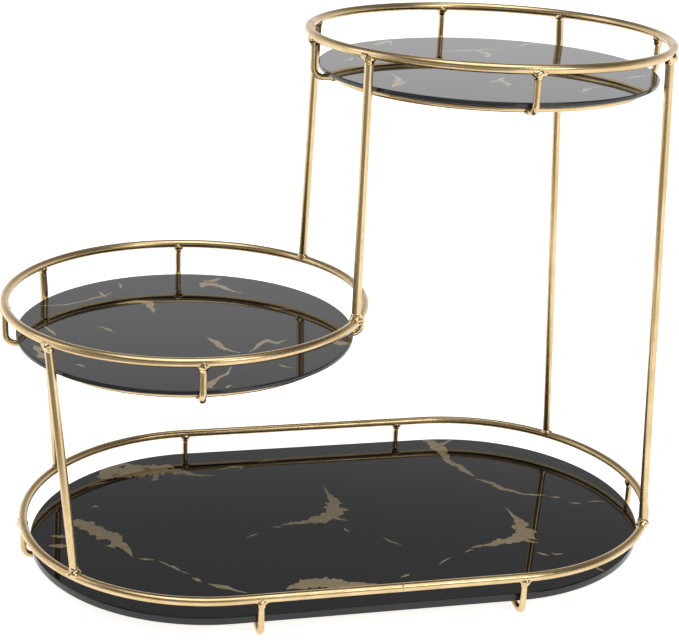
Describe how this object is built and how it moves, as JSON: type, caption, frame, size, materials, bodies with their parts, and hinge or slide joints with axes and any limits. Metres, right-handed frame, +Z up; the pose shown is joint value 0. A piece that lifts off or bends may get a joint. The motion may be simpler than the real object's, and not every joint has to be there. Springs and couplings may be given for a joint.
{
  "type": "tiered cake stand",
  "caption": "Welded wire stand with a long oval lower tray and two round upper trays, stepped to one side, each holding a loose lift-out glass plate.",
  "frame": {"origin": "middle of the footprint, on the surface that the feet stand on", "axes": "+X along the lower tray towards the tallest tray, +Y towards the back, +Z up"},
  "size_m": [0.3889, 0.223, 0.3068],
  "materials": {
    "gold_wire": "satin gold plating",
    "gold_weld": "satin gold plating over rough weld metal",
    "marble_glass": "gloss black with gold marble veins printed under the glass"
  },
  "bodies": {
    "frame": {"base_rail": "gold_wire", "middle_rail": "gold_wire", "top_rail": "gold_wire", "base_support_ring": "gold_wire", "middle_support_ring": "gold_wire", "top_support_ring": "gold_wire", "left_post_back": "gold_wire", "left_post_front": "gold_wire", "right_post_back": "gold_wire", "right_post_front": "gold_wire", "riser_back": "gold_wire", "riser_front": "gold_wire", "left_foot": "gold_wire", "right_foot": "gold_wire", "front_left_foot": "gold_wire", "front_right_foot": "gold_wire", "back_left_foot": "gold_wire", "back_right_foot": "gold_wire", "middle_bracket_left": "gold_wire", "middle_bracket_right": "gold_wire", "middle_bracket_front": "gold_wire", "middle_bracket_back": "gold_wire", "top_bracket_left": "gold_wire", "top_bracket_right": "gold_wire", "top_bracket_front": "gold_wire", "top_bracket_back": "gold_wire", "base_rail_welds": "gold_weld", "middle_rail_welds": "gold_weld", "top_rail_welds": "gold_weld", "middle_ring_welds": "gold_weld", "top_ring_welds": "gold_weld"},
    "base_plate": {"base_glass_plate": "marble_glass"},
    "middle_plate": {"middle_glass_plate": "marble_glass"},
    "top_plate": {"top_glass_plate": "marble_glass"}
  },
  "joints": [
    {"name": "base_plate_lift", "type": "slide", "parent": "frame", "child": "base_plate", "axis": [0, 0, 1], "range_m": [0, 0.03]},
    {"name": "middle_plate_lift", "type": "slide", "parent": "frame", "child": "middle_plate", "axis": [0, 0, 1], "range_m": [0, 0.03]},
    {"name": "top_plate_lift", "type": "slide", "parent": "frame", "child": "top_plate", "axis": [0, 0, 1], "range_m": [0, 0.04]}
  ]
}
